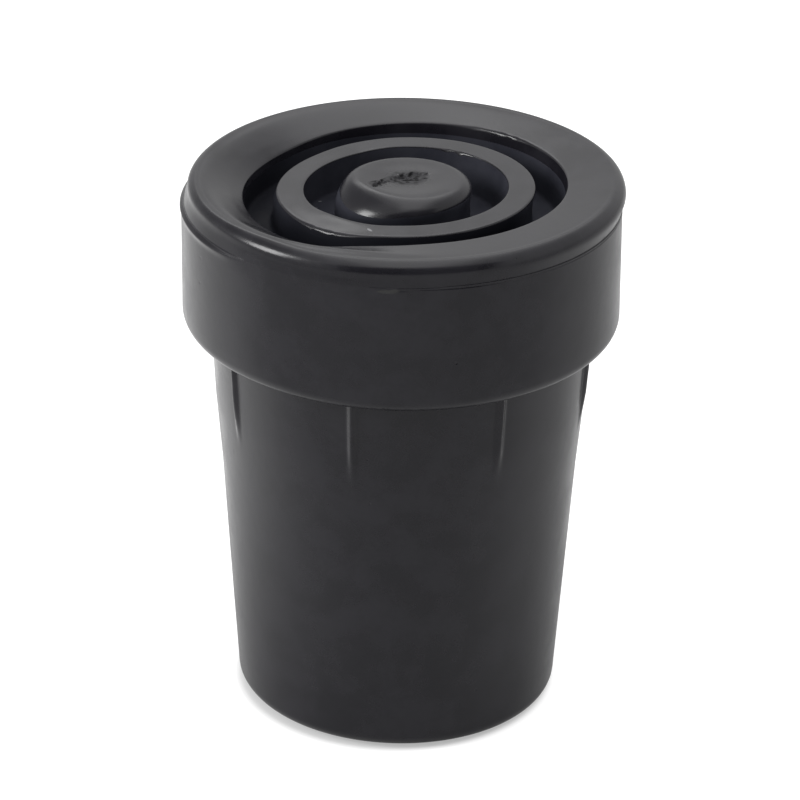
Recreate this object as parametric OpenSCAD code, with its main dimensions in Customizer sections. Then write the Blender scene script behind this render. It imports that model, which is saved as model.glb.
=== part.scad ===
// Rubber tip for the foot of a walking cane: a tapered sleeve with a blind
// socket, under a thick round foot whose tread is a flat land, a ring and a
// button. One solid moulding of black rubber.
// Frame: millimetres, +Z up, Z axis = axis of the socket, mouth at z = 0.
// The tip stands on its mouth with the tread on top. Front is -Y.

/* [Sleeve] */
// outer diameter at the mouth
mouth_d = 28.4; // [27:0.2:30]
// outer diameter where the sleeve meets the foot
sleeve_top_d = 33; // [31:0.5:35]
// height from the mouth to the underside of the foot
sleeve_h = 35.9; // [30:0.5:45]
// radius of the rounded outer edge of the mouth
mouth_round = 1.4; // [0.6:0.1:1.8]

/* [Socket] */
// diameter of the socket that grips the cane
socket_d = 19; // [16:0.5:21]
// depth of the socket from the mouth
socket_depth = 36; // [28:0.5:38]
// 45 degree lead-in at the mouth of the socket
socket_lead = 0.8; // [0.4:0.1:1.2]
// radius where the socket wall meets its floor
socket_floor_r = 1.2; // [0.5:0.1:3]

/* [Foot] */
// diameter of the foot below the parting line
foot_d = 38; // [37:0.5:42]
// total height of the foot
foot_h = 12.8; // [11.5:0.1:16]
// rounded lower corner of the foot
foot_corner_r = 0.8; // [0.3:0.1:1.4]
// fillet between the sleeve and the underside of the foot
neck_fillet_r = 0.6; // [0.3:0.1:1]
// height of the part of the foot that lies above the parting line
plate_h = 2.1; // [1.8:0.1:2.4]
// diameter of the foot above the parting line
plate_d = 37.6; // [37:0.1:39]
// rounded upper corner of the foot
plate_corner_r = 1; // [0.6:0.1:1.5]
// sideways mismatch of the upper mould half, along +X
mould_shift = 0.3; // [0:0.05:0.3]
// relief along the lower edge of the plate, seen as the parting line
parting_relief = 0.2; // [0.1:0.05:0.3]

/* [Flash] */
// thickness of the fin of flash on the parting line
flash_t = 0.25; // [0.15:0.05:0.4]
// how far the flash stands out on its heavy side, -X
flash_out = 0.35; // [0.2:0.05:0.6]

/* [Tread] */
// outer diameter of the outer groove
land_inner_d = 27.5; // [26.8:0.1:28.5]
// width of the flat rim of the land, inside the rounded corner
rim_w = 0.4; // [0.2:0.05:1]
// drop of the land from its rim to the groove
land_dish = 0.25; // [0.1:0.05:0.5]
// outer diameter of the ring
ring_outer_d = 22.1; // [21.5:0.1:22.8]
// inner diameter of the ring
ring_inner_d = 17.4; // [16.6:0.1:18.4]
// height of the middle of the ring below the rim of the land
ring_drop = 1.05; // [0.6:0.05:1.5]
// lean of the top of the ring, down towards -X
ring_lean = 1.8; // [0:0.1:3]
// diameter of the centre button
button_d = 11.4; // [10:0.1:12.4]
// height of the button below the rim of the land
button_drop = 0.25; // [0:0.05:0.8]
// rounded shoulder of the button
button_shoulder_r = 1.2; // [0.5:0.1:1.6]
// diameter of the shallow dish on the button
button_dish_d = 7; // [4:0.5:8]
// depth of the shallow dish on the button
button_dish = 0.25; // [0.1:0.05:0.4]
// depth of both grooves below the rim of the land
groove_depth = 4.4; // [3.4:0.1:5]
// draft of the groove walls, in degrees
groove_draft = 2; // [1:0.5:3]
// radius along the floor of the grooves
groove_floor_r = 0.4; // [0.2:0.1:0.5]

/* [Sunken side of the land] */
// direction in which the land has sunk, from the front towards -X, in degrees
sink_direction = 82; // [60:1:110]
// slope of the sunken land towards the groove, in degrees
sink_slope = 31; // [15:1:35]
// how far the sunken side reaches past the groove all round, before it is offset
sink_margin = 0.55; // [0.3:0.05:0.8]
// width left between the sunken side and the flat rim of the land
sink_gap = 0.2; // [0.1:0.05:0.6]

/* [Ribs under the foot] */
// number of ribs
rib_count = 8; // [4:1:12]
// direction of one of the ribs, from the front towards +X, in degrees
rib_start = 31; // [0:1:45]
// width of a rib
rib_w = 0.9; // [0.6:0.1:1.4]
// how far a rib stands out under the foot
rib_out = 0.6; // [0.3:0.05:0.8]
// length over which a rib fades into the sleeve
rib_l = 9.5; // [6:0.5:14]

/* [Hidden] */
$fn = 96;
cut = 1;
mouth_r = mouth_d / 2;
sleeve_r = sleeve_top_d / 2;
socket_r = socket_d / 2;
foot_r = foot_d / 2;
plate_r = plate_d / 2;
top_z = sleeve_h + foot_h;
parting_z = top_z - plate_h;
taper = atan((sleeve_r - mouth_r) / sleeve_h);
groove_z = top_z - groove_depth;
land_inner_r = land_inner_d / 2;
land_rim_r = plate_r - plate_corner_r - rim_w;
ring_outer_r = ring_outer_d / 2;
ring_inner_r = ring_inner_d / 2;
button_r = button_d / 2;
outer_gap_r = (land_inner_r + ring_outer_r) / 2;
inner_gap_r = (ring_inner_r + button_r) / 2;
button_z = top_z - button_drop;
dish_ball_r = (pow(button_dish_d / 2, 2) + pow(button_dish, 2)) / (2 * button_dish);
flash_r = foot_r + flash_out / 2;
sink_r = land_inner_r + sink_margin;
sink_offset = land_rim_r - sink_gap - sink_r;

// radius of the tapered sleeve at a height
function sleeve_at(z) = mouth_r + z * tan(taper);

// half section of the sleeve, its rounded mouth edge included
module sleeve_section() {
    mouth_cx = sleeve_at(mouth_round) - mouth_round / cos(taper);
    polygon([
        [0, 0],
        [mouth_cx, 0],
        [mouth_cx + mouth_round * cos(taper), mouth_round - mouth_round * sin(taper)],
        [sleeve_r, sleeve_h],
        [0, sleeve_h]
    ]);
    translate([mouth_cx, mouth_round])
        circle(r = mouth_round);
}

// half section of the foot up to the parting line
module foot_section() {
    translate([0, sleeve_h])
        square([foot_r - foot_corner_r, parting_z - sleeve_h]);
    translate([0, sleeve_h + foot_corner_r])
        square([foot_r, parting_z - sleeve_h - foot_corner_r]);
    translate([foot_r - foot_corner_r, sleeve_h + foot_corner_r])
        circle(r = foot_corner_r);
}

// the concave fillet under the foot
module neck_fillet_section() {
    centre_z = sleeve_h - neck_fillet_r;
    centre_x = sleeve_at(centre_z) + neck_fillet_r / cos(taper);
    difference() {
        polygon([
            [centre_x - neck_fillet_r * cos(taper), centre_z + neck_fillet_r * sin(taper)],
            [centre_x, sleeve_h],
            [sleeve_r - neck_fillet_r, sleeve_h],
            [sleeve_r - neck_fillet_r, centre_z]
        ]);
        translate([centre_x, centre_z])
            circle(r = neck_fillet_r);
    }
}

// half section of the plate above the parting line, before the grooves
module plate_section() {
    polygon([
        [0, parting_z],
        [plate_r - parting_relief, parting_z],
        [plate_r, parting_z + parting_relief],
        [plate_r, top_z - plate_corner_r],
        [plate_r - plate_corner_r, top_z],
        [land_rim_r, top_z],
        [land_inner_r, top_z - land_dish],
        [0, top_z - land_dish]
    ]);
    translate([plate_r - plate_corner_r, top_z - plate_corner_r])
        circle(r = plate_corner_r);
}

// half section of one groove between two radii, open at the top
module groove_section(inner_r, outer_r) {
    wall_z = groove_z + groove_floor_r;
    spread = (top_z - wall_z) * tan(groove_draft);
    floor_in = inner_r + spread;
    floor_out = outer_r - spread;
    polygon([
        [floor_in, wall_z],
        [floor_out, wall_z],
        [outer_r, top_z],
        [outer_r, top_z + cut],
        [inner_r, top_z + cut],
        [inner_r, top_z]
    ]);
    translate([floor_in + groove_floor_r, groove_z])
        square([floor_out - floor_in - 2 * groove_floor_r, groove_floor_r]);
    translate([floor_in + groove_floor_r, wall_z])
        circle(r = groove_floor_r);
    translate([floor_out - groove_floor_r, wall_z])
        circle(r = groove_floor_r);
}

// half section of what is taken away around the top of the button
module button_shoulder_section() {
    difference() {
        translate([0, button_z - button_shoulder_r])
            square([inner_gap_r, button_shoulder_r + button_drop + cut]);
        translate([0, button_z - 2 * button_shoulder_r])
            square([button_r - button_shoulder_r, 2 * button_shoulder_r]);
        translate([0, button_z - 2 * button_shoulder_r])
            square([button_r, button_shoulder_r]);
        translate([button_r - button_shoulder_r, button_z - button_shoulder_r])
            circle(r = button_shoulder_r);
    }
}

// what is taken away above the leaning top of the ring
module ring_top_cut() {
    translate([0, 0, top_z - ring_drop])
        rotate([0, -ring_lean, 0])
            difference() {
                cylinder(r = outer_gap_r, h = ring_drop + 2 * cut);
                translate([0, 0, -cut])
                    cylinder(r = inner_gap_r, h = ring_drop + 4 * cut);
            }
}

// what is taken away where the land has sunk towards the outer groove
module sink_cut() {
    sink_h = sink_r * tan(sink_slope);
    difference() {
        rotate([0, 0, -sink_direction])
            translate([0, -sink_offset, top_z - land_dish / 2 - sink_h])
                cylinder(r1 = 0, r2 = sink_r * (sink_h + cut) / sink_h, h = sink_h + cut);
        translate([0, 0, groove_z - cut])
            cylinder(r = outer_gap_r, h = groove_depth + 3 * cut);
    }
}

// the tread half of the mould: grooves, ring, button and sunken land
module tread_cuts() {
    rotate_extrude()
        groove_section(ring_outer_r, land_inner_r);
    rotate_extrude()
        groove_section(button_r, ring_inner_r);
    rotate_extrude()
        button_shoulder_section();
    ring_top_cut();
    sink_cut();
    translate([0, 0, button_z - button_dish + dish_ball_r])
        sphere(r = dish_ball_r);
}

// one rib: a round bar that sinks into the sleeve as it runs down
module rib() {
    bar_r = rib_w / 2;
    low_z = sleeve_h - rib_l;
    high_x = sleeve_r + rib_out - bar_r;
    low_x = sleeve_at(low_z) - bar_r;
    lean = atan((high_x - low_x) / rib_l);
    translate([low_x, 0, low_z])
        rotate([0, lean, 0])
            cylinder(r = bar_r, h = (rib_l + foot_corner_r) / cos(lean));
}

// the socket, with its lead-in and its rounded floor
module socket_cut() {
    rotate_extrude() {
        polygon([
            [0, -cut],
            [socket_r + socket_lead + cut, -cut],
            [socket_r, socket_lead],
            [socket_r, socket_depth - socket_floor_r],
            [socket_r - socket_floor_r, socket_depth],
            [0, socket_depth]
        ]);
        translate([socket_r - socket_floor_r, socket_depth - socket_floor_r])
            circle(r = socket_floor_r);
    }
}

module cane_tip() {
    color([0.07, 0.07, 0.075])
    difference() {
        union() {
            rotate_extrude() {
                sleeve_section();
                neck_fillet_section();
                foot_section();
            }
            for (k = [0:rib_count - 1])
                rotate([0, 0, rib_start - 90 + k * 360 / rib_count])
                    rib();
            translate([-flash_out / 2, 0, parting_z - flash_t])
                cylinder(r = flash_r, h = flash_t);
            translate([mould_shift, 0, 0])
                rotate_extrude()
                    plate_section();
        }
        translate([mould_shift, 0, 0])
            tread_cuts();
        socket_cut();
    }
}

cane_tip();
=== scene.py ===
# %% [markdown]
# # A rubber cane tip
#
# The object is the rubber foot of a walking cane: a tapered sleeve that grips
# the stick, and a thick round foot above it. It stands upside down on the open
# mouth of the sleeve, so the tread that meets the ground is on top. It is one
# moulding, so the whole object is one mesh.
#
# The lesson goes in the order a toolmaker would work. First comes the half
# section, then one full turn of it, then what the mould and the curing did to
# the shape: worn edges, a side of the tread that sank in, the scar of the gate,
# ribs under the foot, and two mould halves that don't quite meet and leave flash.
# The rubber's finish, the floor, the lamps and the camera come last.
#
# Lengths are written in millimetres and turned into metres where a vertex is
# made. +Z is up, and the front is -Y.

# %% Load the frame
import math

import bmesh
import bpy
from mathutils import Matrix, Vector, noise


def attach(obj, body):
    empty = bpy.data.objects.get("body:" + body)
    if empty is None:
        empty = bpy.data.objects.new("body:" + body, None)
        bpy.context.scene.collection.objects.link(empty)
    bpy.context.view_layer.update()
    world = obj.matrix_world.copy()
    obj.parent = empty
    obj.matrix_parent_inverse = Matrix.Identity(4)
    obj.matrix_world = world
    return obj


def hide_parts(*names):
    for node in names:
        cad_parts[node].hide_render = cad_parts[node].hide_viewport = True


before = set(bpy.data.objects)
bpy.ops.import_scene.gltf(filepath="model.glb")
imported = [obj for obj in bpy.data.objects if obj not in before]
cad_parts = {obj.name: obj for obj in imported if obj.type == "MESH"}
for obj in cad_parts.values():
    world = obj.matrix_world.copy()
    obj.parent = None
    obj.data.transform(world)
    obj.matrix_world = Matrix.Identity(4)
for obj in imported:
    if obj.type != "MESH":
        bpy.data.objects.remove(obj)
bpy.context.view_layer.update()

MM = 0.001

# %% [markdown]
# ## Small helpers
#
# A turned part is easiest to think of in turned measures: how far out a point
# is, how high it is, and in which direction it lies. Directions are given in
# degrees from the front, positive towards +X, so that -90 is the left side.
# `turned` reads a vertex in these measures, `put` and `move_out` move it in them,
# and `smooth` is the S-shaped step that every soft change below is made with.


# %% Turned measures
def direction(x, y):
    """Degrees from the front (-Y), positive towards +X."""
    return math.degrees(math.atan2(x, -y))


def turn_gap(a, b):
    """The signed difference between two directions, from -180 to 180."""
    return (a - b + 180.0) % 360.0 - 180.0


def turned(vert):
    """Radius in mm, direction in degrees and height in mm of a vertex."""
    x, y, z = vert.co / MM
    return math.hypot(x, y), direction(x, y), z


def put(vert, radius, height):
    """Puts a vertex at a new radius and height, in mm, without turning it."""
    x, y, _ = vert.co / MM
    r = math.hypot(x, y)
    vert.co = Vector((x * radius / r, y * radius / r, height)) * MM


def move_out(vert, distance):
    """Moves a vertex straight out from the axis by a distance in mm."""
    x, y, _ = vert.co / MM
    r = math.hypot(x, y)
    vert.co.x += distance * MM * x / r
    vert.co.y += distance * MM * y / r


print("the left side lies at", direction(-1.0, 0.0), "degrees")


# %% Soft steps
def limited(value):
    """The value, kept between 0 and 1."""
    return min(max(value, 0.0), 1.0)


def smooth(low, high, value):
    """0 below low, 1 above high, with a soft change between them."""
    t = limited((value - low) / (high - low))
    return t * t * (3.0 - 2.0 * t)


def around(table, angle):
    """Reads a table of (direction, value) rows that closes on itself, along a smooth curve."""
    n = len(table)
    rows = [(a + 360.0 * turn, v) for turn in (-1, 0, 1) for a, v in table]
    angle = (angle - table[0][0]) % 360.0 + table[0][0]
    for i in range(n, 2 * n):
        (a0, v0), (a1, v1), (a2, v2), (a3, v3) = rows[i - 1:i + 3]
        if a1 <= angle <= a2:
            t, width = (angle - a1) / (a2 - a1), a2 - a1
            m1, m2 = (v2 - v0) / (a2 - a0) * width, (v3 - v1) / (a3 - a1) * width
            return (v1 * (2 * t**3 - 3 * t**2 + 1) + m1 * (t**3 - 2 * t**2 + t)
                    + v2 * (3 * t**2 - 2 * t**3) + m2 * (t**3 - t**2))
    return table[0][1]


print("halfway up a soft step:", smooth(0.0, 1.0, 0.5))

# %% [markdown]
# ## The half section
#
# On the real object this is the cut that the mould was turned to. It could be a
# curve with handles, or a long list of points worked out by hand. A few corner
# points are clearer: each row gives a corner, how round it is, in how many
# steps, and how long the edges after it may be. `bmesh.ops.bevel` on a single
# vertex does the rounding, the same tool as Ctrl+Shift+B in the editor.
#
# The line starts on the axis at the floor of the socket, comes down the bore,
# turns at the mouth and climbs the outside. It ends on the axis, in the middle
# of the button.

# %% Corner points of the half section
SOCKET_R = 9.5
SOCKET_DEPTH = 36.0
LEAD_IN = 0.8
SLEEVE_LOW_R = 14.2
SLEEVE_TOP_R = 16.6
SLEEVE_H = 35.9
PARTING_Z = 46.6
TOP_Z = 48.75
FOOT_R = 18.94
PLATE_R = 18.79
PLATE_ROUNDING = 1.12
LAND_IN_R = 13.75
LAND_IN_Z = TOP_Z - 0.22
RING_OUT_R = 11.05
RING_IN_R = 8.72
BUTTON_R = 5.72
GROOVE_Z = 44.3
RING_Z = 48.0
BUTTON_Z = 48.45
BUTTON_ROUNDING = 1.25
DRAFT = 0.14

CORNERS = [
    # radius, height, rounding, steps, longest edge after it
    (0.0, SOCKET_DEPTH, 0.0, 0, 1.6),
    (SOCKET_R, SOCKET_DEPTH, 1.2, 5, 5.0),
    (SOCKET_R, LEAD_IN, 0.4, 3, 1.0),
    (SOCKET_R + LEAD_IN, 0.0, 0.25, 3, 1.2),
    (SLEEVE_LOW_R, 0.0, 1.4, 9, 2.8),
    (15.65, 22.4, 0.0, 0, 1.0),
    (16.2, 28.7, 0.0, 0, 1.0),
    (SLEEVE_TOP_R, SLEEVE_H, 0.5, 4, 0.9),
    (FOOT_R + 0.06, SLEEVE_H, 1.2, 9, 1.6),
    (FOOT_R, PARTING_Z - 1.30, 0.0, 0, 0.3),
    (FOOT_R, PARTING_Z - 0.50, 0.0, 0, 0.09),
    (FOOT_R, PARTING_Z - 0.16, 0.03, 2, 1.0),
    (FOOT_R - 0.05, PARTING_Z - 0.09, 0.02, 2, 1.0),
    (FOOT_R + 0.02, PARTING_Z - 0.04, 0.02, 2, 1.0),
    (FOOT_R + 0.02, PARTING_Z + 0.02, 0.02, 2, 1.0),
    (PLATE_R, PARTING_Z + 0.05, 0.02, 2, 0.3),
    (PLATE_R, TOP_Z, PLATE_ROUNDING, 11, 0.34),
    (LAND_IN_R, LAND_IN_Z, 0.16, 5, 1.1),
    (LAND_IN_R - DRAFT, GROOVE_Z, 0.4, 4, 0.6),
    (RING_OUT_R + DRAFT, GROOVE_Z, 0.4, 4, 1.0),
    (RING_OUT_R, RING_Z, 0.18, 5, 0.28),
    (RING_IN_R, RING_Z, 0.13, 5, 1.0),
    (RING_IN_R - DRAFT, GROOVE_Z, 0.4, 4, 0.6),
    (BUTTON_R + DRAFT, GROOVE_Z, 0.4, 4, 0.9),
    (BUTTON_R, BUTTON_Z, BUTTON_ROUNDING, 10, 0.11),
    (0.0, BUTTON_Z, 0.0, 0, 1.0),
]

section = bmesh.new()
chain = [section.verts.new((r * MM, 0.0, z * MM)) for r, z, *_ in CORNERS]
for pair in zip(chain, chain[1:]):
    section.edges.new(pair)
print("corner points:", len(chain))

# %% [markdown]
# ## Edge lengths and rounded corners
#
# The corners are rounded first, because a bevel can't reach past a point that
# was cut into the edge beside it. The bevel's offset is a length along the edge,
# not a radius: for a corner that opens by an angle it is the radius divided by
# the tangent of half that angle. Then every edge that is still too long is
# halved, again and again, until none is left.


# %% Round the corners, then cut the long edges
def round_corner(bm, vert, radius, steps):
    """Rounds one vertex of a wire to a true radius."""
    a, b = [(e.other_vert(vert).co - vert.co).normalized() for e in vert.link_edges]
    reach = radius * MM / math.tan(a.angle(b) / 2.0)
    bmesh.ops.bevel(bm, geom=[vert], offset=reach, offset_type="OFFSET",
                    segments=steps, profile=0.5, affect="VERTICES", material=-1)


for vert, (_, _, radius, steps, _) in zip(chain, CORNERS):
    if radius > 0.0:
        round_corner(section, vert, radius, steps)
print("points on the line after rounding:", len(section.verts))


# %% Cut the straights
def longest_edge(edge):
    """The longest edge allowed where this one lies, in mm."""
    middle = (edge.verts[0].co + edge.verts[1].co) / 2.0 / MM
    best = None
    for (r0, z0, *_, step), (r1, z1, *_) in zip(CORNERS, CORNERS[1:]):
        p, q = Vector((r0, 0.0, z0)), Vector((r1, 0.0, z1))
        t = limited((middle - p).dot(q - p) / (q - p).length_squared)
        gap = (p.lerp(q, t) - middle).length
        if best is None or gap < best[0]:
            best = (gap, step)
    return best[1]


while True:
    too_long = [e for e in section.edges if e.calc_length() / MM > longest_edge(e)]
    if not too_long:
        break
    bmesh.ops.subdivide_edges(section, edges=too_long, cuts=1)
print("points on the line after cutting:", len(section.verts))

# %% [markdown]
# ## One full turn
#
# Spin is what a lathe does: the line goes once round the Z axis. The seam is
# closed by `use_merge`, and the two points on the axis each close into one pole
# when the doubles are merged.
#
# A rib under the foot is less than a millimetre wide, far too narrow for evenly
# spaced columns. More columns everywhere would waste most of them, so after
# the spin every column is nudged towards its nearest rib. The spacing is then
# about 0.1 mm on a rib and 0.5 mm between two.

# %% Spin the section
COLUMNS = 336
RIBS = 8
RIB_AT = 31.0
CROWD = 0.62

bmesh.ops.spin(section, geom=section.verts[:] + section.edges[:], cent=(0, 0, 0),
               axis=(0, 0, 1), angle=math.tau, steps=COLUMNS, use_merge=True)
bmesh.ops.remove_doubles(section, verts=section.verts, dist=2e-6)
bmesh.ops.recalc_face_normals(section, faces=section.faces)
print("faces:", len(section.faces), "open edges:", sum(e.is_boundary for e in section.edges))

# %% Crowd the columns towards the ribs
for v in section.verts:
    r = math.hypot(v.co.x, v.co.y)
    if r > 1e-7:
        angle = direction(v.co.x, v.co.y)
        from_rib = math.radians(turn_gap(angle, RIB_AT) * RIBS)
        angle -= math.degrees(CROWD * math.sin(from_rib)) / RIBS
        v.co.x = r * math.sin(math.radians(angle))
        v.co.y = -r * math.cos(math.radians(angle))
print("degrees between columns on a rib:", round(360.0 / COLUMNS * (1 - CROWD), 2))

# %% [markdown]
# ## Two skins
#
# The outside of the moulding took the polish of the mould. The grooves didn't:
# their cutters left a dull skin, and dust stays in them. The faces of the
# grooves are marked now, while their heights are still the drawn ones, and get
# a material of their own at the end.

# %% Mark the groove faces
GROOVE_SKIN = 1
for face in section.faces:
    x, y, z = face.calc_center_median() / MM
    if math.hypot(x, y) < LAND_IN_R + 0.1 and GROOVE_Z - 0.1 < z < RING_Z - 0.3:
        face.material_index = GROOVE_SKIN
print("faces with the dull skin:", sum(f.material_index == GROOVE_SKIN for f in section.faces))

# %% [markdown]
# ## Uneven edges
#
# Most edges of the tread are crisp. Where a mould insert was worn, the rubber
# filled it out, and the edge is fuller and a little lumpy for part of the way
# round. It catches the light there as a broken line. The rounding that the
# section already has is blown up there, by a noise that runs along the edge.

# %% Fill out the worn edges
WORN = [
    # edge radius, edge height, side the rubber is on, drawn rounding, extra, from, to
    (LAND_IN_R, LAND_IN_Z, 1.0, 0.16, 0.26, 124.0, 162.0),
    (RING_IN_R, RING_Z, 1.0, 0.13, 0.24, 134.0, 166.0),
    (RING_OUT_R, RING_Z, -1.0, 0.18, 0.24, -56.0, -18.0),
]
FADE = 9.0


def wear(angle, edge_r, start, end):
    """How much of the wear is reached in a direction, from 0 to 1."""
    ends = smooth(start, start + FADE, angle) * smooth(end, end - FADE, angle)
    lumps = 0.35 + 1.3 * max(noise.noise(Vector((angle * edge_r * 0.022, edge_r, 2.0))), 0.0)
    lumps += 0.5 * noise.noise(Vector((angle * edge_r * 0.07, edge_r, 6.0)))
    return ends * limited(lumps)


moved = 0
for v in section.verts:
    r, angle, z = turned(v)
    for edge_r, edge_z, side, drawn, extra, start, end in WORN:
        out, up = side * (edge_r - r) + drawn, z - edge_z + drawn
        on_rounding = out > -0.001 and up > -0.001 and math.hypot(out, up) < drawn * 1.2
        if start < angle < end and on_rounding:
            more = extra * wear(angle, edge_r, start, end)
            put(v, r + side * (more - out * more / drawn), z - more + up * more / drawn)
            moved += 1
print("points moved on the worn edges:", moved)

# %% [markdown]
# ## The rounding of the rim
#
# The edge between the tread and the side of the plate is sharper on the left
# than elsewhere. A bevel has one width all the way round, so the rounding that
# the section drew is made smaller there: the flat, the rounding and the wall each
# keep their points, and only their lengths change.

# %% Round the rim of the plate
PLATE_ROUND = [
    (-160.0, PLATE_ROUNDING), (-115.0, 0.95), (-75.0, 0.74), (-60.0, 0.76), (-47.0, 0.98),
    (-37.0, PLATE_ROUNDING), (-5.0, PLATE_ROUNDING), (100.0, PLATE_ROUNDING),
]


def rerounded(r, z, corner, inner_r, base_z, drawn, new):
    """Where a point near a corner goes when the drawn rounding becomes a new one."""
    corner_r, corner_z = corner
    flat, wall = corner_r - drawn, corner_z - drawn
    if z <= wall:
        return r, base_z + (z - base_z) * (corner_z - new - base_z) / (wall - base_z)
    if r <= flat:
        return inner_r + (r - inner_r) * (corner_r - new - inner_r) / (flat - inner_r), z
    turn = math.atan2(r - flat, z - wall)
    return corner_r - new + new * math.sin(turn), corner_z - new + new * math.cos(turn)


for v in section.verts:
    r, angle, z = turned(v)
    if r > LAND_IN_R + 0.45 and z > PARTING_Z + 0.08:
        new = around(PLATE_ROUND, angle)
        put(v, *rerounded(r, z, (PLATE_R, TOP_Z), LAND_IN_R, PARTING_Z, PLATE_ROUNDING, new))
print("sharpest rounding of the rim, mm:", min(h for _, h in PLATE_ROUND))

# %% [markdown]
# ## What the press did: the tread
#
# The tread is the part that took the most looking at. Its left side sank while
# the rubber cured, so the land, the flat band round the grooves, runs downhill
# there into the outer groove. Only a low rounded bead is left of it along the
# rim. The ring sank with it, by less. Both are written as short tables of
# height against direction, and each point of the surface moves down by its
# share, as if pushed with a soft brush.

# %% Heights round the tread
LAND_EDGE = [
    (-170.0, 47.97), (-150.0, 47.67), (-133.0, 47.20), (-117.0, 46.95), (-97.0, 46.90),
    (-80.0, 46.88), (-66.0, 46.86), (-54.0, 46.88), (-42.0, 47.02), (-29.0, 47.34), (-18.0, 47.84),
    (-8.0, 48.14), (9.0, 48.40), (40.0, 48.48), (110.0, 48.36), (140.0, 48.33), (170.0, 48.16),
]
RING_OUTER = [
    (-170.0, 47.80), (-150.0, 47.62), (-132.0, 47.40), (-103.0, 47.29), (-71.0, 47.32),
    (-51.0, 47.28), (-30.0, 47.40), (-10.0, 47.76), (9.0, 47.89), (60.0, 48.02),
    (150.0, 47.97), (175.0, 47.87),
]
RING_INNER = [
    (-170.0, 47.84), (-150.0, 47.62), (-102.0, 47.44), (-65.0, 47.46), (-45.0, 47.66),
    (-20.0, 47.72), (0.0, 47.88), (60.0, 48.00), (150.0, 47.97), (175.0, 47.90),
]
CREST_R = [
    (-150.0, 17.6), (-60.0, 17.55), (-40.0, 17.4), (-32.0, 17.1), (-26.0, 16.85), (-18.0, 16.55),
    (-8.0, 16.5), (6.0, 17.0), (20.0, 17.5), (60.0, 17.6),
]
RIM_ROLL = [
    (-150.0, 0.0), (-110.0, 0.04), (-80.0, 0.09), (-45.0, 0.10), (-25.0, 0.12), (-8.0, 0.06),
    (10.0, 0.0), (120.0, 0.0),
]
CREST = [(-90.0, 48.74), (0.0, 48.78), (90.0, 48.88), (180.0, 48.86)]
LAND_BOW = [
    (-120.0, 0.0), (-64.0, 0.0), (-50.0, 0.4), (-36.0, 0.7), (-20.0, 0.8), (-6.0, 0.4),
    (8.0, 0.1), (90.0, 0.0), (180.0, 0.0),
]
print("lowest point of the land's inner edge, mm:", min(h for _, h in LAND_EDGE))

# %% Sink the land and the ring
GROOVE_FOOT = 0.3
GROOVE_MID_R = (LAND_IN_R + RING_OUT_R) / 2.0
INNER_MID_R = (RING_IN_R + BUTTON_R) / 2.0


def land_fall(share, bow):
    """How much of the fall is reached on the way in: soft at the crest, bowed after it."""
    soft = 0.16
    line = (math.hypot(share, soft) - soft) / (math.hypot(1.0, soft) - soft)
    return line + bow * line * (1.0 - line)


def wall_share(z, edge_z):
    """1 at the top edge of a groove wall, down to 0 at the groove's floor."""
    foot_z = GROOVE_Z + GROOVE_FOOT
    return limited((z - foot_z) / (edge_z - foot_z))


for v in section.verts:
    r, angle, z = turned(v)
    if z < GROOVE_Z + GROOVE_FOOT:
        continue
    if r > GROOVE_MID_R:
        edge = around(LAND_EDGE, angle) - LAND_IN_Z
        crest = around(CREST, angle) - TOP_Z
        crest_r = around(CREST_R, angle)
        share = limited((crest_r - r) / (crest_r - LAND_IN_R))
        share = land_fall(share, around(LAND_BOW, angle))
        body = wall_share(z, TOP_Z - 0.4) if r < crest_r else smooth(PARTING_Z + 0.2, TOP_Z - 0.3, z)
        roll = around(RIM_ROLL, angle) * smooth(crest_r - 0.2, crest_r + 0.9, r)
        v.co.z += (edge * share + crest * (1.0 - share) - roll) * body * MM
    elif INNER_MID_R < r <= GROOVE_MID_R:
        t = smooth(RING_IN_R, RING_OUT_R, r)
        top = around(RING_INNER, angle) * (1 - t) + around(RING_OUTER, angle) * t
        v.co.z += (top - RING_Z) * wall_share(z, RING_Z - 0.15) * MM
print("highest point now, mm:", round(max(v.co.z for v in section.verts) / MM, 2))

# %% [markdown]
# ## The dished button
#
# The button in the middle is where the mould was filled. Its top is a shallow
# dish inside a soft rim, and the rim rolls over into the side. It sank at the
# front left, like the land, and its rim is rounder there. The spin made it flat
# and even, so the rim is rounded again and the dish pressed in afterwards.

# %% Press the dish
DISH_R = 4.1
DISH_DEPTH = 0.2
BUTTON_FOOT = 0.5
BUTTON_DROP = [
    (-120.0, 0.0), (-85.0, 0.05), (-50.0, 0.14), (-20.0, 0.14), (10.0, 0.08), (60.0, 0.0),
    (150.0, 0.0),
]
BUTTON_ROUND = [
    (-130.0, BUTTON_ROUNDING), (-90.0, 1.6), (-60.0, 2.1), (-30.0, 2.1), (5.0, 1.6),
    (45.0, 1.35), (90.0, BUTTON_ROUNDING),
]

for v in section.verts:
    r, angle, z = turned(v)
    on_button = r < INNER_MID_R and z > GROOVE_Z + BUTTON_FOOT
    if on_button and r > 0.01:
        new = around(BUTTON_ROUND, angle)
        put(v, *rerounded(r, z, (BUTTON_R, BUTTON_Z), 0.0, GROOVE_Z, BUTTON_ROUNDING, new))
        r, angle, z = turned(v)
    if r < DISH_R and z > BUTTON_Z - 0.2:
        v.co.z -= DISH_DEPTH * (1.0 - smooth(0.25, 1.0, r / DISH_R)) * MM
    if r < INNER_MID_R and z > GROOVE_Z + BUTTON_FOOT:
        share = smooth(3.2, BUTTON_R - 0.1, r) * smooth(GROOVE_Z + BUTTON_FOOT, BUTTON_Z - 1.0, z)
        v.co.z -= around(BUTTON_DROP, angle) * share * MM
print("height of the middle of the button, mm:", round(BUTTON_Z - DISH_DEPTH, 2))

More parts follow.
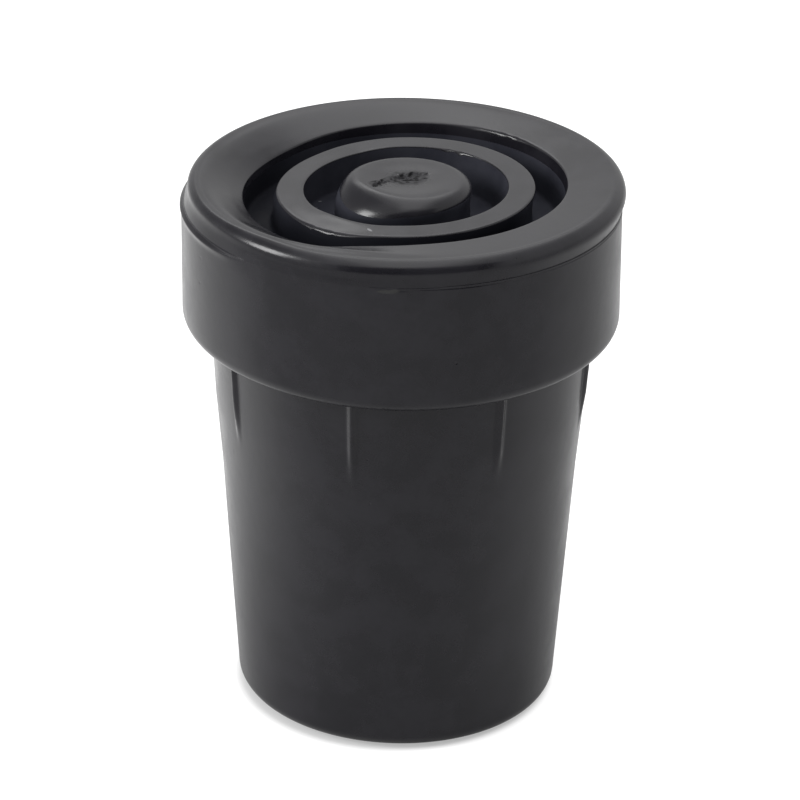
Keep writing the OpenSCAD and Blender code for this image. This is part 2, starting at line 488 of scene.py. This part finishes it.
# %% [markdown]
# ## The scar of the gate
#
# The rubber was pressed in through the middle of the button, and the stem was
# torn off. The tear left a small wedge and an oblong hollow with a ragged back
# wall. Each stroke below is a short line: behind it the skin stands up in a thin
# lip, on it the wall drops, and in front of it the bottom rises again softly.

# %% Tear the scar
SCARS = [
    # from x, y, to x, y, depth, softness of the front slope
    (-2.90, -1.50, -2.00, -0.10, 0.20, 0.45),
    (-1.90, -0.20, -0.95, 0.70, 0.05, 0.60),
    (-0.95, 0.85, -0.25, 1.25, 0.26, 0.70),
    (0.05, 1.30, 0.75, 1.66, 0.22, 0.80),
    (0.95, 1.58, 1.70, 1.40, 0.15, 0.70),
    (-0.40, 0.10, 0.45, 0.35, 0.07, 0.50),
    (0.75, 0.70, 1.70, 0.60, 0.07, 0.50),
]


def scar_depth(x, y):
    """How deep the tear goes at a place on the button, in mm."""
    deepest = lip = 0.0
    for x0, y0, x1, y1, depth, soft in SCARS:
        length = math.hypot(x1 - x0, y1 - y0)
        ux, uy = (x1 - x0) / length, (y1 - y0) / length
        along = (x - x0) * ux + (y - y0) * uy
        across = (x - x0) * uy - (y - y0) * ux
        across += 0.34 * noise.noise(Vector((along * 2.6, y0, 1.0)))
        across += 0.1 * noise.noise(Vector((x * 7.0, y * 7.0, 4.0)))
        ends = smooth(-0.35, 0.15, along) * smooth(length + 0.35, length - 0.15, along)
        wall = smooth(-0.16, 0.12, across)
        deepest = max(deepest, depth * ends * wall * math.exp(-max(across, 0.0) / soft))
        lip = max(lip, 0.2 * depth * ends * smooth(-0.35, -0.1, across) * (1.0 - wall))
    rough = 0.09 * noise.noise(Vector((x * 4.0, y * 4.0, 3.0)))
    rough += 0.05 * noise.noise(Vector((x * 9.0, y * 9.0, 8.0)))
    rough *= min(deepest / 0.08, 1.0)
    return deepest + rough - lip


for v in section.verts:
    x, y, z = v.co / MM
    if z > BUTTON_Z - 1.0 and math.hypot(x, y) < 4.3:
        v.co.z -= scar_depth(x, y) * MM
print("deepest stroke of the scar, mm:", max(scar[4] for scar in SCARS))

# %% [markdown]
# ## Ribs under the foot
#
# Eight thin ribs run down from the foot and sink into the sleeve. They could be
# eight bars joined on with a boolean, which leaves hard seams. Here the sleeve
# itself is pulled out along each rib: the far side of a thin round bar, with a
# soft foot where it meets the sleeve.

# %% Raise the ribs
RIB_HALF = 0.52
RIB_OUT = 0.34
RIB_ZONE = 10.0
RIB_LENGTHS = [
    (-149.0, 9.2), (-104.0, 9.6), (-59.0, 9.0), (-14.0, 9.4), (31.0, 9.3), (76.0, 9.7),
    (121.0, 9.3), (166.0, 9.5),
]


def rib_height(across, z, angle):
    """How far a rib stands out of the sleeve at a distance across it, in mm."""
    reach = 1.0 - (SLEEVE_H - z) / around(RIB_LENGTHS, angle)
    if reach <= 0.0 or abs(across) >= RIB_HALF:
        return 0.0
    waver = 1.0 + 0.12 * noise.noise(Vector((angle, z * 1.6, 5.0)))
    return RIB_OUT * waver * smooth(0.0, 0.5, reach) * (1.0 - (across / RIB_HALF) ** 2) ** 2


for v in section.verts:
    r, angle, z = turned(v)
    on_outside = 12.0 < r < SLEEVE_TOP_R + 0.6
    if on_outside and SLEEVE_H - RIB_ZONE < z < SLEEVE_H + 0.01:
        gap = turn_gap(angle * RIBS, RIB_AT * RIBS) / RIBS
        move_out(v, rib_height(math.radians(gap) * r, z, angle))
print("ribs:", RIBS, "standing out", RIB_OUT, "mm")

# %% [markdown]
# ## Two mould halves that don't quite meet
#
# The foot was pressed between a lower and an upper mould half. The upper one
# sat a little to the right, so a sloping ledge shows on the left and the plate
# overhangs on the right. Rubber crept into the gap between the halves and left
# a hair of flash, and one crumb of it in front. At the front left they met so
# well that no seam is left. The mouth was cut off a shade out of square, so its
# left side stands just clear of the floor.

# %% The seam between the halves
FOOT_SHIFT_LOW, FOOT_SHIFT_HIGH = -0.04, -0.12
PLATE_LOW, PLATE_HIGH = -0.05, 0.28
SEAM_FROM, SEAM_TO = -1.31, 0.71
FLASH_FROM, FLASH_TO = -0.065, 0.035
FLUSH_FROM, FLUSH_SPAN = -1.3, 2.0
LEDGE_TOP, LEDGE_LIP = 0.04, 0.12
LEDGE_DROP, LEDGE_END = 0.26, 0.8


def flash_out(angle):
    """How far the flash stands out in a direction, in mm."""
    return 0.025 * noise.noise(Vector((angle * 0.35, 3.1, 0.0)))


def crumb_out(angle, drop):
    """How far the torn crumb in front stands out, at a depth below the parting plane."""
    if drop < -0.03:
        return 0.0
    lumps = 0.8 + 0.7 * noise.noise(Vector((angle * 0.9, drop * 5.0, 9.4)))
    return 0.08 * lumps * smooth(5.0, 2.5, abs(turn_gap(angle, -3.0))) * smooth(0.9, 0.3, drop)


def closed_seam(angle):
    """1 where the two halves met so well that no seam is left, 0 elsewhere."""
    return smooth(-52.0, -43.0, angle) * (1.0 - smooth(0.0, 16.0, angle))


def left_ledge(drop, plate, foot):
    """Radius of the sloping ledge on the left, at a depth below the parting plane."""
    top, lip = plate + LEDGE_TOP, foot + LEDGE_LIP
    if drop < LEDGE_DROP:
        return top + (lip - top) * max(drop, 0.0) / LEDGE_DROP
    return lip + (foot - lip) * smooth(LEDGE_DROP, LEDGE_END, drop)


def seam_radius(angle, z, foot, plate, own):
    """Radius of the outside near the parting plane; own is where the foot's side lies."""
    above = z - PARTING_Z
    if FLASH_FROM < above < FLASH_TO:
        new = max(foot, plate) + flash_out(angle)
    else:
        new = plate if above > 0.0 else own
    if above < FLASH_TO:
        left = 1.0 - smooth(26.0, 50.0, abs(turn_gap(angle, -90.0)))
        new += (left_ledge(-0.02 - above, plate, foot) - new) * left
    flush = foot + (plate - foot) * limited((above - FLUSH_FROM) / FLUSH_SPAN)
    return new + (flush - new) * closed_seam(angle) + crumb_out(angle, -above)


print("height of the sloping ledge, mm:", LEDGE_END)


# %% Shift the halves and tilt the mouth
FOOT_UNDER = [(-90.0, -0.22), (-45.0, -0.45), (0.0, -0.72), (90.0, -0.43), (180.0, -0.15)]
MOUTH_LIFT = 0.3
MOUTH_REACH = 12.0
PLATE_FADE = 1.1
UNDER_REACH, UNDER_FROM, UNDER_TO = 5.0, 1.2, 6.0

for v in section.verts:
    r, angle, z = turned(v)
    x = v.co.x / MM
    side = math.sin(math.radians(angle))
    height = limited((z - SLEEVE_H) / (PARTING_Z - SLEEVE_H))
    foot_shift = FOOT_SHIFT_LOW + (FOOT_SHIFT_HIGH - FOOT_SHIFT_LOW) * height
    plate_shift = PLATE_LOW + (PLATE_HIGH - PLATE_LOW) * limited((z - PARTING_Z) / PLATE_FADE)
    inside = r < SLEEVE_TOP_R - 1.0
    if r > FOOT_R - 0.2 and SEAM_FROM < z - PARTING_Z < SEAM_TO:
        foot, plate = FOOT_R + foot_shift * side, PLATE_R + plate_shift * side
        move_out(v, seam_radius(angle, z, foot, plate, r + foot_shift * side) - r)
    elif z > PARTING_Z or inside and z > SLEEVE_H + 0.3:
        v.co.x += plate_shift * MM
    elif z > SLEEVE_H - 0.01 and not inside:
        v.co.x += foot_shift * MM * smooth(SLEEVE_H - 0.01, SLEEVE_H + 0.3, z)
    if not inside and SLEEVE_H - UNDER_REACH < z < PARTING_Z:
        near = smooth(SLEEVE_H - UNDER_REACH, SLEEVE_H, z)
        near *= 1.0 - smooth(SLEEVE_H + UNDER_FROM, SLEEVE_H + UNDER_TO, z)
        v.co.z += around(FOOT_UNDER, angle) * near * MM
    if z < MOUTH_REACH:
        leftward = 0.5 - x / (2.0 * SLEEVE_LOW_R)
        v.co.z += MOUTH_LIFT * leftward * (1.0 - smooth(0.0, MOUTH_REACH, z)) * MM
print("the plate leans to the right by, mm:", round(PLATE_HIGH - PLATE_LOW, 2))

# %% [markdown]
# ## The finished mesh
#
# The bmesh becomes one mesh object at the origin. Faces are shaded smooth; the
# roundings are real, so no edge needs to be marked sharp.

# %% Make the piece
mesh = bpy.data.meshes.new("cane_tip_rubber")
section.to_mesh(mesh)
section.free()
mesh.shade_smooth()
tip = bpy.data.objects.new("cane_tip_rubber", mesh)
bpy.context.scene.collection.objects.link(tip)
triangles = sum(len(p.vertices) - 2 for p in mesh.polygons)
print("piece:", len(mesh.polygons), "faces,", triangles, "triangles")

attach(tip, "root")
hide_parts("cane_tip")

# %% [markdown]
# ## The look of moulded rubber
#
# Black rubber is nearly black all through, and what is seen is its skin. Close
# up the skin has a fine grain, an uneven shine in soft clouds a few millimetres
# wide, and now and then a pinhole where a bubble of air stayed. Both skins of
# this tip have all three, in different strengths, so they are made once as a
# node group. The group gives a height in millimetres and the clouds. The shader
# itself stays in each material.


# %% Helpers for node trees
def link_chain(tree, *ends):
    """Links pairs of sockets: output, input, output, input."""
    for start, stop in zip(ends[::2], ends[1::2]):
        tree.links.new(start, stop)


def ranged(tree, value, from_min, from_max, to_min, to_max, soft=True):
    """A Map Range node fed by a value; gives its result."""
    node = tree.nodes.new("ShaderNodeMapRange")
    node.interpolation_type = "SMOOTHSTEP" if soft else "LINEAR"
    for name, number in (("From Min", from_min), ("From Max", from_max),
                         ("To Min", to_min), ("To Max", to_max)):
        node.inputs[name].default_value = number
    tree.links.new(value, node.inputs["Value"])
    return node.outputs["Result"]


def sums(tree, operation, a, b):
    """A Math node; a and b are sockets or numbers."""
    node = tree.nodes.new("ShaderNodeMath")
    node.operation = operation
    for socket, value in zip(node.inputs, (a, b)):
        if isinstance(value, (int, float)):
            socket.default_value = value
        else:
            tree.links.new(value, socket)
    return node.outputs[0]


def speckle(tree, place, scale, detail, roughness=0.55):
    """A noise texture; gives its factor."""
    node = tree.nodes.new("ShaderNodeTexNoise")
    node.inputs["Scale"].default_value = scale
    node.inputs["Detail"].default_value = detail
    node.inputs["Roughness"].default_value = roughness
    tree.links.new(place, node.inputs["Vector"])
    return node.outputs["Fac"]


print("helpers for node trees: link_chain, ranged, sums and speckle")

# %% A group for the rubber's skin
GRAIN_SCALE, RIPPLE_SCALE, CLOUD_SCALE, HOLE_SCALE = 7000.0, 800.0, 260.0, 420.0

skin_group = bpy.data.node_groups.new("rubber_skin", "ShaderNodeTree")
for label in ("Grain", "Ripple", "Pinholes"):
    skin_group.interface.new_socket(label, in_out="INPUT", socket_type="NodeSocketFloat")
for label in ("Height", "Cloud"):
    skin_group.interface.new_socket(label, in_out="OUTPUT", socket_type="NodeSocketFloat")
given = skin_group.nodes.new("NodeGroupInput")
gives = skin_group.nodes.new("NodeGroupOutput")
place = skin_group.nodes.new("ShaderNodeTexCoord").outputs["Object"]

grain = sums(skin_group, "SUBTRACT", speckle(skin_group, place, GRAIN_SCALE, 2.0), 0.5)
ripple = sums(skin_group, "SUBTRACT", speckle(skin_group, place, RIPPLE_SCALE, 2.0), 0.5)
cloud = speckle(skin_group, place, CLOUD_SCALE, 4.0, 0.62)
cloud = ranged(skin_group, cloud, 0.36, 0.64, 0.0, 1.0)
cells = skin_group.nodes.new("ShaderNodeTexVoronoi")
cells.inputs["Scale"].default_value = HOLE_SCALE
skin_group.links.new(place, cells.inputs["Vector"])
split = skin_group.nodes.new("ShaderNodeSeparateColor")
skin_group.links.new(cells.outputs["Color"], split.inputs[0])
hole = ranged(skin_group, cells.outputs["Distance"], 0.045, 0.075, 1.0, 0.0)
few = ranged(skin_group, split.outputs["Red"], 0.80, 0.82, 0.0, 1.0)
hole = sums(skin_group, "MULTIPLY", hole, few)
grain = sums(skin_group, "MULTIPLY", grain, given.outputs["Grain"])
ripple = sums(skin_group, "MULTIPLY", ripple, given.outputs["Ripple"])
hole = sums(skin_group, "MULTIPLY", hole, given.outputs["Pinholes"])
height = sums(skin_group, "SUBTRACT", sums(skin_group, "ADD", grain, ripple), hole)
link_chain(skin_group, height, gives.inputs["Height"], cloud, gives.inputs["Cloud"])
print("group:", skin_group.name, "with", len(skin_group.nodes), "nodes")

# %% [markdown]
# ## Small marks
#
# A nick or a scratch is a spot in one place. It could be painted, but a spot is
# also easy to write down: a Mapping node moves, turns and stretches space until
# the mark is a ball one unit across, and the length of the vector tells how far
# a point is from its middle. Marks of one kind share one mask, the largest of
# their values.


# %% A mask of small marks
def marks(tree, rows):
    """A mask from rows of place, size (both mm) and turn about Z (degrees)."""
    place = tree.nodes.new("ShaderNodeTexCoord").outputs["Object"]
    total = None
    for centre, size, turn in rows:
        node = tree.nodes.new("ShaderNodeMapping")
        node.vector_type = "TEXTURE"
        node.inputs["Location"].default_value = [c * MM for c in centre]
        node.inputs["Rotation"].default_value = (0.0, 0.0, math.radians(turn))
        node.inputs["Scale"].default_value = [s * MM / 2.0 for s in size]
        length = tree.nodes.new("ShaderNodeVectorMath")
        length.operation = "LENGTH"
        link_chain(tree, place, node.inputs["Vector"], node.outputs["Vector"], length.inputs[0])
        mask = ranged(tree, length.outputs["Value"], 0.55, 1.0, 1.0, 0.0)
        total = mask if total is None else sums(tree, "MAXIMUM", total, mask)
    return total


# A nick on the ring's top and two ticks on the scar's torn edges, painted pale: painted highlights
# for the glints they catch.
PAINTED_GLINT_MARKS = [
    ((-2.76, -9.36, 47.62), (0.95, 0.30, 0.6), -59.0),
    ((-0.49, 1.35, 48.4), (0.10, 0.34, 0.6), 12.0),
    ((-2.25, -0.55, 48.3), (0.30, 0.08, 0.6), 40.0),
]
# The crumb of flash in front, painted a lighter grey: a painted highlight for the light it catches.
CRUMB_PAINTED_LIGHT_MARKS = [
    ((-1.25, -19.1, 46.34), (2.2, 1.2, 0.50), -4.0),
    ((-0.60, -19.1, 46.44), (1.1, 1.2, 0.40), -2.0),
]
TORN_MARKS = [
    ((-2.40, -0.85, 48.2), (2.2, 1.3, 1.6), 55.0),
    ((-1.40, 0.10, 48.2), (1.9, 1.2, 1.6), 40.0),
    ((0.35, 0.60, 48.2), (4.6, 3.8, 2.0), 8.0),
]
print("pale marks:", len(PAINTED_GLINT_MARKS + CRUMB_PAINTED_LIGHT_MARKS), "torn patches:", len(TORN_MARKS))

# %% [markdown]
# ## The polished skin
#
# The polish of the mould gives a low roughness, and the clouds move it a little
# up and down, which is what makes the reflections look like rubber and not like
# lacquer. The torn rubber of the scar is dull, and in its pits it mirrors less.
# The colour hardly changes: a little lighter in the clouds, faintly grey on the
# crumb of flash and pale in a few marks, both painted highlights for caught light.


# %% A material for each skin
def rubber_material(name, grain, ripple, pinholes):
    """A material with a Principled shader and the skin group; gives both and the tree."""
    material = bpy.data.materials.new(name)
    material.use_nodes = True
    tree = material.node_tree
    look = tree.nodes.new("ShaderNodeGroup")
    look.node_tree = skin_group
    for label, value in (("Grain", grain), ("Ripple", ripple), ("Pinholes", pinholes)):
        look.inputs[label].default_value = value
    bump = tree.nodes.new("ShaderNodeBump")
    bump.inputs["Distance"].default_value = MM
    shader = tree.nodes["Principled BSDF"]
    link_chain(tree, look.outputs["Height"], bump.inputs["Height"],
               bump.outputs["Normal"], shader.inputs["Normal"])
    mesh.materials.append(material)
    return tree, shader, look


def blend(tree, mask, a, b):
    """Mixes two colours, or a socket and a colour, by a mask."""
    node = tree.nodes.new("ShaderNodeMix")
    node.data_type = "RGBA"
    tree.links.new(mask, node.inputs["Factor"])
    for socket, value in ((node.inputs["A"], a), (node.inputs["B"], b)):
        if isinstance(value, tuple):
            socket.default_value = (*value, 1.0)
        else:
            tree.links.new(value, socket)
    return node.outputs["Result"]


dull_faces = sum(p.material_index == GROOVE_SKIN for p in mesh.polygons)
print("faces that wait for the dull skin:", dull_faces)

# %% Polished rubber
DEEP, CLOUDED = (0.0099, 0.0094, 0.0128), (0.0154, 0.0147, 0.0191)
IN_PITS = (0.006, 0.006, 0.007)
GLINT_PALE = (0.17, 0.17, 0.18)
ON_CRUMB_PAINTED_LIGHT = (0.028, 0.028, 0.028)

tree, shader, look = rubber_material("polished_rubber", 0.0018, 0.010, 0.03)
torn = marks(tree, TORN_MARKS)
pale = marks(tree, PAINTED_GLINT_MARKS)
crumb = marks(tree, CRUMB_PAINTED_LIGHT_MARKS)
colour = blend(tree, look.outputs["Cloud"], DEEP, CLOUDED)
pits = speckle(tree, tree.nodes.new("ShaderNodeTexCoord").outputs["Object"], 2300.0, 2.0)
pits = sums(tree, "MULTIPLY", torn, ranged(tree, pits, 0.41, 0.62, 0.0, 1.0))
colour = blend(tree, pits, colour, IN_PITS)
# Painted highlights: the glints of the nick and of the scar's torn edges.
colour = blend(tree, pale, colour, GLINT_PALE)
# Painted highlight on the crumb of flash.
colour = blend(tree, crumb, colour, ON_CRUMB_PAINTED_LIGHT)
shine = ranged(tree, look.outputs["Cloud"], 0.0, 1.0, 0.21, 0.265)
shine = sums(tree, "ADD", shine, sums(tree, "MULTIPLY", torn, 0.30))
mirror = sums(tree, "SUBTRACT", 0.5, sums(tree, "MULTIPLY", pits, 0.38))
link_chain(tree, colour, shader.inputs["Base Color"], shine, shader.inputs["Roughness"],
           mirror, shader.inputs["Specular IOR Level"])
shader.inputs["IOR"].default_value = 1.45
print("polished rubber:", len(tree.nodes), "nodes")

# %% [markdown]
# ## The dull skin
#
# In the grooves the same rubber looks deeper and softer. It mirrors less. Its
# grey is lighter towards the back and the right, partly dust and partly painted
# light, and at the front left it stays dark, a painted shade. It uses the same
# group with a coarser grain, a higher roughness and a lower index of refraction.

# %% Dull rubber
# Grey of the grooves: lighter towards the back and the right, partly dust and partly painted light;
# darker at the front left, painted shade.
DUST_AND_LIGHT_DEEP, DUST_AND_LIGHT_CLOUDED = (0.0292, 0.0302, 0.0395), (0.0385, 0.0396, 0.0505)
DARK_FRONT_LEFT = (0.0113, 0.0118, 0.0158)
ON_DUST = (0.16, 0.16, 0.17)
DUST_MARKS = [
    ((-7.95, 3.95, 44.4), (0.55, 0.10, 0.8), 35.0),
    ((-7.25, 4.35, 44.4), (0.50, 0.10, 0.8), 40.0),
    ((-7.55, 3.10, 44.4), (0.40, 0.08, 0.8), 20.0),
]

tree, shader, look = rubber_material("dull_rubber", 0.006, 0.020, 0.03)
dust_marks = marks(tree, DUST_MARKS)
colour = blend(tree, look.outputs["Cloud"], DUST_AND_LIGHT_DEEP, DUST_AND_LIGHT_CLOUDED)
axes = tree.nodes.new("ShaderNodeSeparateXYZ")
tree.links.new(tree.nodes.new("ShaderNodeTexCoord").outputs["Object"], axes.inputs[0])
# Lighter towards the back and the right, partly dust, partly painted light; the dark front left is
# painted shade.
dust_and_light_back_right = sums(tree, "MULTIPLY", ranged(tree, axes.outputs["X"], -0.0125, -0.0075, 0.0, 1.0),
             ranged(tree, axes.outputs["Y"], -0.0070, -0.0030, 0.0, 1.0))
colour = blend(tree, dust_and_light_back_right, DARK_FRONT_LEFT, colour)
colour = blend(tree, dust_marks, colour, ON_DUST)
shine = ranged(tree, look.outputs["Cloud"], 0.0, 1.0, 0.48, 0.60)
link_chain(tree, colour, shader.inputs["Base Color"], shine, shader.inputs["Roughness"])
shader.inputs["IOR"].default_value = 1.13
print("dull rubber:", len(tree.nodes), "nodes")

# %% [markdown]
# ## The floor
#
# A sheet of pale paper. Its grey gets the light and the tip's shadow, and a glow
# that only the camera sees lifts it to white, so no more light falls on the
# object for a white ground. The glow is weaker at the foot of the tip, and on
# the left a little farther out: a painted shadow round the base, which also
# leaves the real shadow in sight. Rays that mirror in the rubber see a glow as
# well, a weaker one with painted light and shade: it fades out towards the
# viewer, close to the tip, far away and on the right. That is what shapes the
# sides of the tip.

# %% Floor
FLOOR_HALF = 1.2

floor_mesh = bpy.data.meshes.new("floor")
floor_bm = bmesh.new()
bmesh.ops.create_grid(floor_bm, x_segments=1, y_segments=1, size=FLOOR_HALF)
floor_bm.to_mesh(floor_mesh)
floor_bm.free()
floor = bpy.data.objects.new("floor", floor_mesh)
bpy.context.scene.collection.objects.link(floor)
print("floor, mm:", round(2.0 * FLOOR_HALF / MM))

# %% Paper
paper = bpy.data.materials.new("pale_paper")
paper.use_nodes = True
tree = paper.node_tree
tree.nodes.clear()
axes = tree.nodes.new("ShaderNodeSeparateXYZ")
tree.links.new(tree.nodes.new("ShaderNodeTexCoord").outputs["Object"], axes.inputs[0])
# The glow that mirrored rays see fades by place: painted light and shade in the reflections.
towards_back = ranged(tree, axes.outputs["Y"], -0.050, 0.004, 0.10, 1.0)
leftwards = ranged(tree, axes.outputs["X"], -0.060, 0.060, 0.70, 0.27)
reach = tree.nodes.new("ShaderNodeVectorMath")
reach.operation = "LENGTH"
tree.links.new(axes.inputs[0].links[0].from_socket, reach.inputs[0])
outwards = ranged(tree, reach.outputs["Value"], 0.014, 0.060, 0.30, 1.0)
far = ranged(tree, reach.outputs["Value"], 0.06, 0.13, 1.0, 0.68)
farther = ranged(tree, reach.outputs["Value"], 0.12, 0.32, 1.0, 0.4)
rays = tree.nodes.new("ShaderNodeLightPath")
mirrored = sums(tree, "MAXIMUM", rays.outputs["Is Glossy Ray"], rays.outputs["Is Transmission Ray"])
for fade in (towards_back, leftwards, outwards, far, farther):
    mirrored = sums(tree, "MULTIPLY", mirrored, fade)
# The glow the camera sees drops near the base, a little farther out on the left: a painted contact
# shadow.
lean = sums(tree, "ADD", reach.outputs["Value"], sums(tree, "MULTIPLY", axes.outputs["X"], 0.02))
near = ranged(tree, lean, 0.0136, 0.0148, 0.38, 0.78)
seen = sums(tree, "MULTIPLY", rays.outputs["Is Camera Ray"], near)
glow = tree.nodes.new("ShaderNodeEmission")
tree.links.new(sums(tree, "ADD", mirrored, seen), glow.inputs["Strength"])
matt = tree.nodes.new("ShaderNodeBsdfDiffuse")
matt.inputs["Color"].default_value = (0.5, 0.5, 0.5, 1.0)
both = tree.nodes.new("ShaderNodeAddShader")
out = tree.nodes.new("ShaderNodeOutputMaterial")
link_chain(tree, matt.outputs[0], both.inputs[0], glow.outputs[0], both.inputs[1],
           both.outputs[0], out.inputs["Surface"])
floor_mesh.materials.append(paper)
print("paper:", len(tree.nodes), "nodes")

# %% [markdown]
# ## The room
#
# The world is plain white to the camera and in reflections. What it sends onto
# surfaces as soft light is a little less, and the lamps add the rest. One corner
# of the room, at the upper left behind the tip, mirrors darker, with no edge,
# and so does the foot of the walls.

# %% World
LIGHT_LEVEL, SEEN_LEVEL = 0.85, 1.0
SHADED_CORNER = (-0.621, 0.485, 0.616)

world = bpy.data.worlds.new("studio")
bpy.context.scene.world = world
world.use_nodes = True
tree = world.node_tree
tree.nodes.clear()
rays = tree.nodes.new("ShaderNodeLightPath")
seen = sums(tree, "MAXIMUM", rays.outputs["Is Camera Ray"], rays.outputs["Is Transmission Ray"])
seen = sums(tree, "MAXIMUM", seen, rays.outputs["Is Glossy Ray"])
corner = tree.nodes.new("ShaderNodeVectorMath")
corner.operation = "DOT_PRODUCT"
corner.inputs[1].default_value = SHADED_CORNER
tree.links.new(tree.nodes.new("ShaderNodeTexCoord").outputs["Generated"], corner.inputs[0])
shade = ranged(tree, corner.outputs["Value"], 0.77, 0.99, 0.0, 0.48)
axes = tree.nodes.new("ShaderNodeSeparateXYZ")
tree.links.new(corner.inputs[0].links[0].from_socket, axes.inputs[0])
shade = sums(tree, "ADD", shade, ranged(tree, axes.outputs["Z"], 0.03, 0.36, 0.24, 0.03))
shade = sums(tree, "MULTIPLY", shade, rays.outputs["Is Glossy Ray"])
light = ranged(tree, seen, 0.0, 1.0, LIGHT_LEVEL, SEEN_LEVEL, soft=False)
light = sums(tree, "SUBTRACT", light, shade)
sky = tree.nodes.new("ShaderNodeBackground")
out = tree.nodes.new("ShaderNodeOutputWorld")
link_chain(tree, light, sky.inputs["Strength"], sky.outputs[0], out.inputs["Surface"])
print("world:", SEEN_LEVEL, "when seen,", LIGHT_LEVEL, "as light")

# %% [markdown]
# ## Lamps and a card
#
# Satin rubber shows the shape of what lights it. A small softbox low on the left
# makes the bright streak on the rim. Two long ones overhead, a wide and a narrow
# one, give the tread its light, with a soft edge, and a weak one behind the tip
# draws the bead along the rim. A dark card on the viewer's side keeps the front
# of the tip dark and draws the edge of the rim. Only mirrored rays see the card,
# so it takes no light from the floor.


# %% Softboxes
DOME_CENTRE = Vector((0.0, 0.0, 0.03))


def spot_on_dome(azimuth, elevation, distance):
    """A place on a dome over the tip, and the turn that faces its middle."""
    a, e = math.radians(azimuth), math.radians(elevation)
    away = Vector((math.sin(a) * math.cos(e), -math.cos(a) * math.cos(e), math.sin(e)))
    return DOME_CENTRE + away * distance, (-away).to_track_quat("-Z", "Y")


def softbox(name, azimuth, elevation, distance, width, height, radiance):
    """A rectangular lamp that faces the tip; radiance is its brightness when seen."""
    lamp = bpy.data.lights.new(name, "AREA")
    lamp.shape = "RECTANGLE"
    lamp.size, lamp.size_y = width, height
    lamp.energy = radiance * math.pi * width * height
    holder = bpy.data.objects.new(name, lamp)
    holder.location, turn = spot_on_dome(azimuth, elevation, distance)
    holder.rotation_euler = turn.to_euler()
    bpy.context.scene.collection.objects.link(holder)
    print(name, "gives", round(lamp.energy, 2), "W")


softbox("key_left", -76, 27, 0.7, 0.22, 0.27, 12.0)
softbox("overhead", 180, 79, 0.6, 0.34, 1.1, 0.8)
softbox("overhead_wide", 180, 80, 0.62, 0.62, 1.36, 0.4)
softbox("back_left", -164, 35, 0.7, 0.22, 0.12, 1.2)


# %% Dark card
def card(name, azimuth, elevation, distance, width, height, grey=0.05):
    """A card that faces the tip and that only mirrored rays see."""
    bm = bmesh.new()
    bmesh.ops.create_grid(bm, x_segments=1, y_segments=1, size=0.5)
    bmesh.ops.scale(bm, vec=(width, height, 1.0), verts=bm.verts)
    where, turn = spot_on_dome(azimuth, elevation, distance)
    stand = Matrix.Translation(where) @ turn.to_matrix().to_4x4()
    bmesh.ops.transform(bm, matrix=stand, verts=bm.verts)
    card_mesh = bpy.data.meshes.new(name)
    bm.to_mesh(card_mesh)
    bm.free()
    dark = bpy.data.materials.new(name)
    dark.use_nodes = True
    shader = dark.node_tree.nodes["Principled BSDF"]
    shader.inputs["Base Color"].default_value = (grey, grey, grey, 1.0)
    card_mesh.materials.append(dark)
    held = bpy.data.objects.new(name, card_mesh)
    bpy.context.scene.collection.objects.link(held)
    held.visible_camera = held.visible_diffuse = held.visible_shadow = False
    print(name, "measures", width, "by", height, "m")


card("front_card", 5, 24, 0.6, 1.0, 0.6)

# %% [markdown]
# ## The camera
#
# The tip is seen from the front and from above, at 26 degrees, from a third of
# a metre away. The long lens keeps its tall sides nearly parallel.

# %% Camera
ELEVATION = math.radians(26.406)
DISTANCE = 0.33
AIM_Z = 0.025
ROLL = math.radians(0.9)
LENS_PX = 3733.5
PICTURE_PX = 800.0
SENSOR = 36.0

cam_data = bpy.data.cameras.new("camera")
camera = bpy.data.objects.new("camera", cam_data)
bpy.context.scene.collection.objects.link(camera)
bpy.context.scene.camera = camera
camera.location = (0.0, -DISTANCE * math.cos(ELEVATION), AIM_Z + DISTANCE * math.sin(ELEVATION))
tilt = Matrix.Rotation(math.pi / 2 - ELEVATION, 3, "X")
camera.rotation_euler = (tilt @ Matrix.Rotation(ROLL, 3, "Z")).to_euler()
cam_data.sensor_width = SENSOR
cam_data.lens = LENS_PX * SENSOR / PICTURE_PX
cam_data.shift_x = 0.00033
cam_data.shift_y = 0.02994
cam_data.clip_start = 0.01
cam_data.clip_end = 10.0
bpy.context.scene.view_settings.view_transform = "Standard"
print("lens, mm:", round(cam_data.lens, 1))
